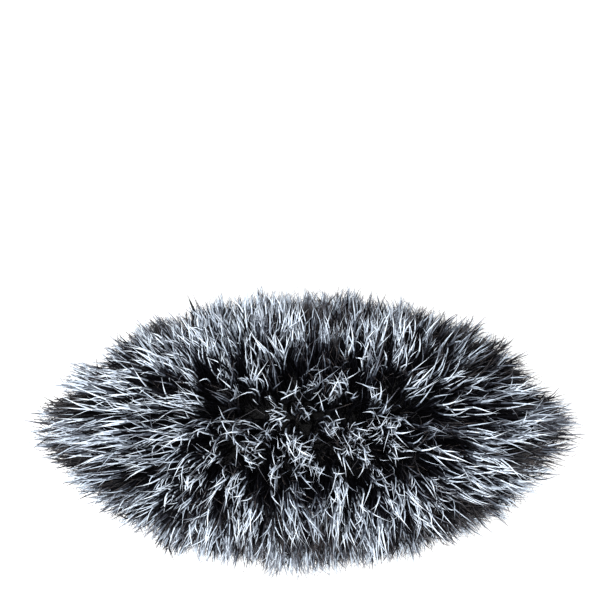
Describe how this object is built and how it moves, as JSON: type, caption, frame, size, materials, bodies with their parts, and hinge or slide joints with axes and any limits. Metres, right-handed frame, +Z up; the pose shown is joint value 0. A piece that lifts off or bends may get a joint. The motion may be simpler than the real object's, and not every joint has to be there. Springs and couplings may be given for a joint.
{
  "type": "furry windscreen",
  "caption": "Long-pile fur windscreen over a moulded oval cage, with a sprung-jaw collar that slips onto the wide head of a handheld recorder",
  "frame": {"origin": "the middle of the mouth, on the plane that the collar rests on", "axes": "+Z up from the mouth to the closed crown, +X along the long side of the oval"},
  "size_m": [0.17, 0.09, 0.095],
  "materials": {
    "fur": "long synthetic pile, black at the root and ice white at the tip",
    "knit": "fine black knitted lining",
    "tape": "woven black binding tape, stitched",
    "elastic": "flat braided elastic",
    "spacer_mesh": "open dark grey spacer mesh",
    "moulding": "black moulded nylon with a fine spark grain",
    "rubber": "soft matt black rubber",
    "foam": "charcoal open-cell foam",
    "steel": "plain stainless steel"
  },
  "bodies": {
    "frame": {"collar": "moulding", "mouth_seal": "rubber", "cage_front": "moulding", "cage_back": "moulding", "crown_plate": "moulding", "crown_screw_front": "steel", "crown_screw_back": "steel", "crown_pad": "foam", "spacer_sock": "spacer_mesh", "base_screw_1": "steel", "base_screw_2": "steel", "base_screw_3": "steel", "base_screw_4": "steel", "jaw_spring_right": "steel", "jaw_spring_left": "steel", "jaw_pin_right": "steel", "jaw_pin_left": "steel", "end_plate_right": "moulding", "end_plate_left": "moulding"},
    "cover": {"fur_back": "fur", "fur_left": "fur", "fur_front": "fur", "fur_right": "fur", "cover_lining": "knit", "hem_tape": "tape", "hem_elastic": "elastic"},
    "grip_right": {"jaw_right": "moulding", "jaw_pad_right": "rubber"},
    "grip_left": {"jaw_left": "moulding", "jaw_pad_left": "rubber"}
  },
  "joints": [
    {"name": "cover_off", "type": "slide", "parent": "frame", "child": "cover", "axis": [0, 0, 1], "range_m": [0, 0.08]},
    {"name": "jaw_right_out", "type": "slide", "parent": "frame", "child": "grip_right", "axis": [1, 0, 0], "range_m": [0, 0.0025], "stiffness_N_per_m": 400, "deforming": ["jaw_spring_right"]},
    {"name": "jaw_left_out", "type": "slide", "parent": "frame", "child": "grip_left", "axis": [-1, 0, 0], "range_m": [0, 0.0025], "stiffness_N_per_m": 400, "deforming": ["jaw_spring_left"]}
  ]
}
